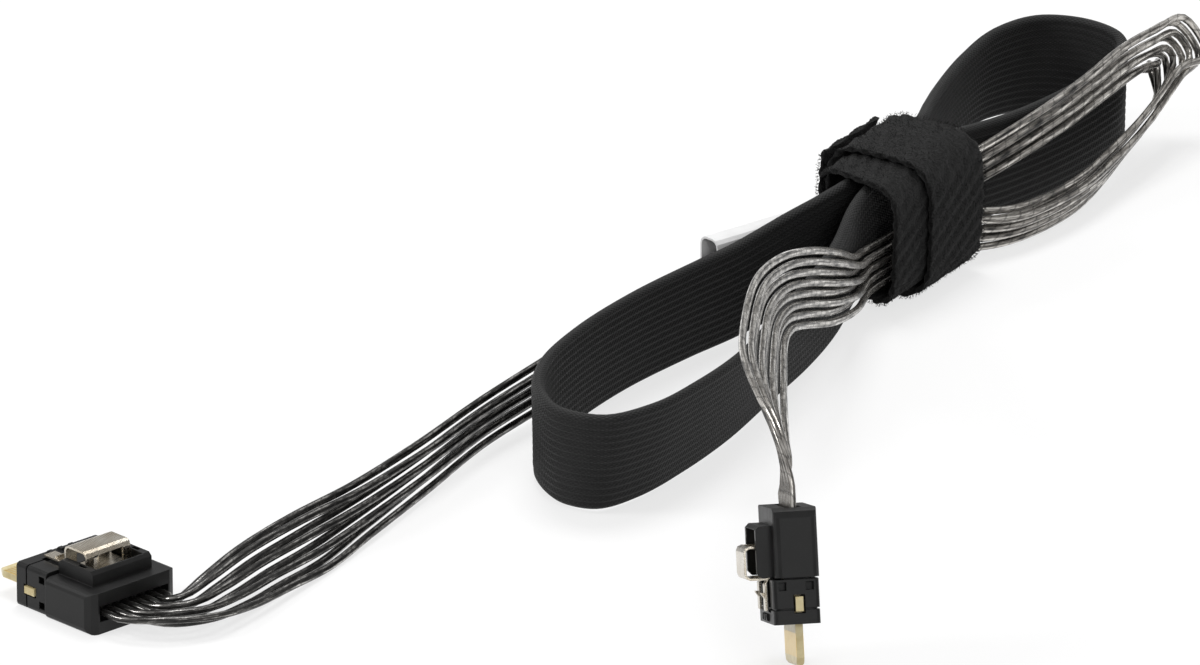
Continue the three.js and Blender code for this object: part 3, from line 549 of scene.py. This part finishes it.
def strap_line(count=80):
    places = []
    for i in range(count + 1):
        t = STRAP_START + STRAP_TURNS * i / count
        out = STRAP_SEAT + STRAP_LAYER * (t - STRAP_START)
        tail = max(0, (t - TAIL_START) / (STRAP_START + STRAP_TURNS - TAIL_START))
        c, s = math.cos(t * 2 * math.pi), math.sin(t * 2 * math.pi)
        bulge_c = math.copysign(abs(c) ** STRAP_CORNER, c)
        bulge_s = math.copysign(abs(s) ** STRAP_CORNER, s)
        places.append([
            0,
            BUNDLE_MIDDLE_Y + (BUNDLE_HALF_DEPTH + out + TAIL_LIFT * tail ** 2) * bulge_c,
            BUNDLE_MIDDLE_Z + (SLEEVE_WIDTH / 2 + out) * bulge_s,
        ])
    places = np.array(places)
    done = np.concatenate([[0], np.cumsum(np.linalg.norm(np.diff(places, axis=0), axis=1))])
    quarters = 4 * (STRAP_START + STRAP_TURNS * done / done[-1])
    drift = cord_line([[x, q, 0] for q, x in enumerate(STRAP_DRIFT)], 901)
    places[:, 0] = np.interp(quarters, np.linspace(0, len(STRAP_DRIFT) - 1, 901), drift[:, 0])
    return places


strap_places = strap_line()
strap_path = cord_line(strap_places, (len(strap_places) - 1) * 4 + 1)
strap_path, strap_across, strap_along = space_evenly(
    (strap_path + HANK_PLACE) * MM, np.tile([1.0, 0, 0], (len(strap_path), 1)), STRAP_STEP * MM
)


def strap_outline(i):
    half = STRAP_THICKNESS / 2 - PILE_DEPTH
    shape = []
    for face in (-1, 1):
        for k in range(PILE_POINTS + 1):
            a = (2 * k / PILE_POINTS - 1) * (STRAP_WIDTH / 2 - 0.25) * -face
            row = PILE_ROW * math.sin((a * PILE_SLANT + i * STRAP_STEP) * PILE_CLOSENESS)
            fuzz = random.uniform(-0.08, 0.1)
            edge = random.uniform(-0.15, 0.15) if k in (0, PILE_POINTS) else 0
            shape.append(((a + edge) * MM, face * (half + row + fuzz) * MM))
    return shape


strap = wind_band(
    "strap_look", strap_path, strap_across, strap_outline, strap_along, keep_across=True
)
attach(strap, "cable")
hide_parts("hook_and_loop_strap")

fibres = bmesh.new()
for _ in range(FIBRES):
    i = random.randrange(2, len(strap_path) - 2)
    ahead = unit(strap_path[i + 1] - strap_path[i - 1])
    out = unit(np.cross(ahead, [1.0, 0, 0]))
    on_edge = random.random() < 0.3
    a = random.choice((-1, 1)) * FIBRE_SPREAD if on_edge else random.uniform(
        -FIBRE_SPREAD, FIBRE_SPREAD
    )
    root = strap_path[i] + np.array([a * MM, 0, 0]) + out * random.uniform(0.25, 0.42) * MM
    lean = np.array([random.uniform(-1, 1) + (a / FIBRE_SPREAD if on_edge else 0), 0, 0])
    way = unit(lean * 0.8 + ahead * random.uniform(-1, 1) + out * random.uniform(0.25, 0.9))
    reach = random.uniform(0.35, 0.8 if on_edge else 0.6) * MM
    wide = unit(np.cross(way, unit(np.array([0.3, 0.7, 0.2])))) * FIBRE_HALF_WIDTH * MM
    middle = root + way * reach * 0.6 + out * reach * 0.25
    tip = root + way * reach
    if min(root[2], middle[2], tip[2]) < 0.0001:
        continue
    spots = (root - wide, root + wide, middle + wide, middle - wide, tip)
    corners = [fibres.verts.new(spot) for spot in spots]
    fibres.faces.new(corners[:4])
    fibres.faces.new((corners[3], corners[2], corners[4]))
fibre_data = bpy.data.meshes.new("strap_fibres")
fibres.to_mesh(fibre_data)
fibres.free()
fibre = bpy.data.objects.new("strap_fibres", fibre_data)
bpy.context.scene.collection.objects.link(fibre)
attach(fibre, "cable")

pile = Finish(
    "strap_pile", Roughness=0.95, Specular_IOR_Level=0.15, Sheen_Weight=0.08, Sheen_Roughness=0.5,
)
curl = pile.mottle(2400, (0.36, 0.002), (0.7, 0.016), 4, 0.7)["Tone"]
pile.bump(curl, 0.0003, 0.9)
dress(pile, strap, fibre)

# Wrap label: a blank band of matte white film round the strands of plug A, behind the sleeve.
paper = Finish("label_film", Roughness=0.5)
paper.mottle(200, (0.3, 0.78), (0.7, 0.86))
dress(paper, nodes["wrap_label"])

# Floor: plain white to the camera and in reflections, with the object's soft shadow left on it.
floor_mesh = bmesh.new()
bmesh.ops.create_grid(floor_mesh, x_segments=1, y_segments=1, size=4)
floor_data = bpy.data.meshes.new("floor")
floor_mesh.to_mesh(floor_data)
floor_mesh.free()
floor = bpy.data.objects.new("floor", floor_data)
bpy.context.scene.collection.objects.link(floor)
ground = Finish("floor_white", Roughness=1.0)
ground.shader.inputs["Base Color"].default_value = (0.5, 0.5, 0.5, 1)
rays = ground.add("ShaderNodeLightPath").outputs
seen = ground.maths("ADD", rays["Is Camera Ray"], rays["Is Glossy Ray"], clamp=True)
seen = ground.maths("ADD", seen, rays["Is Transmission Ray"], clamp=True)
glow = ground.add("ShaderNodeEmission", {"Strength": 1.0})
shaded = ground.add("ShaderNodeBsdfDiffuse", {"Color": (1, 1, 1, 1)})
shown = ground.add("ShaderNodeMixShader", {"Fac": 0.72})
ground.links.new(shaded.outputs[0], shown.inputs[1])
ground.links.new(glow.outputs[0], shown.inputs[2])
mixed = ground.add("ShaderNodeMixShader", {"Fac": seen})
ground.links.new(ground.shader.outputs[0], mixed.inputs[1])
ground.links.new(shown.outputs[0], mixed.inputs[2])
ground.links.new(mixed.outputs[0], ground.nodes["Material Output"].inputs["Surface"])
dress(ground, floor)

# Light: a pale room, a large soft box above, and two smaller ones at the left and in front.
world = bpy.data.worlds.new("room")
world.use_nodes = True
world.node_tree.nodes["Background"].inputs["Color"].default_value = (1, 1, 1, 1)
world.node_tree.nodes["Background"].inputs["Strength"].default_value = 0.42
bpy.context.scene.world = world


def soft_box(name, at, size, power):
    data = bpy.data.lights.new(name, "AREA")
    data.shape = "DISK"
    data.size = size
    data.energy = power
    lamp = bpy.data.objects.new(name, data)
    lamp.location = at
    lamp.rotation_euler = (-Vector(at)).to_track_quat("-Z", "Y").to_euler()
    bpy.context.scene.collection.objects.link(lamp)


soft_box("box_above", (0.25, 0.15, 0.9), 0.5, 5)
soft_box("box_left", (-0.5, 0.55, 0.5), 0.3, 2.5)
soft_box("box_front", (-0.7, -0.75, 0.55), 0.4, 2)

# Camera: a long lens, 21 degrees above the floor, turned 61 degrees from the hank.
CAMERA_AT = Vector((-1949.8, -1046.1, 860.1)) * MM
CAMERA_RIGHT = Vector((0.484, -0.875, 0)).normalized()
CAMERA_ELEVATION = math.radians(21)
look = Vector((
    -CAMERA_RIGHT.y * math.cos(CAMERA_ELEVATION),
    CAMERA_RIGHT.x * math.cos(CAMERA_ELEVATION),
    -math.sin(CAMERA_ELEVATION),
))
up = CAMERA_RIGHT.cross(look)
camera_data = bpy.data.cameras.new("camera")
camera_data.lens = 435.6
camera_data.sensor_width = 36
camera_data.clip_start = 0.05
camera_data.clip_end = 20
camera = bpy.data.objects.new("camera", camera_data)
turn = Matrix((CAMERA_RIGHT, up, -look)).transposed()
camera.matrix_world = Matrix.Translation(CAMERA_AT) @ turn.to_4x4()
bpy.context.scene.collection.objects.link(camera)
bpy.context.scene.camera = camera

bpy.context.scene.view_settings.view_transform = "Standard"
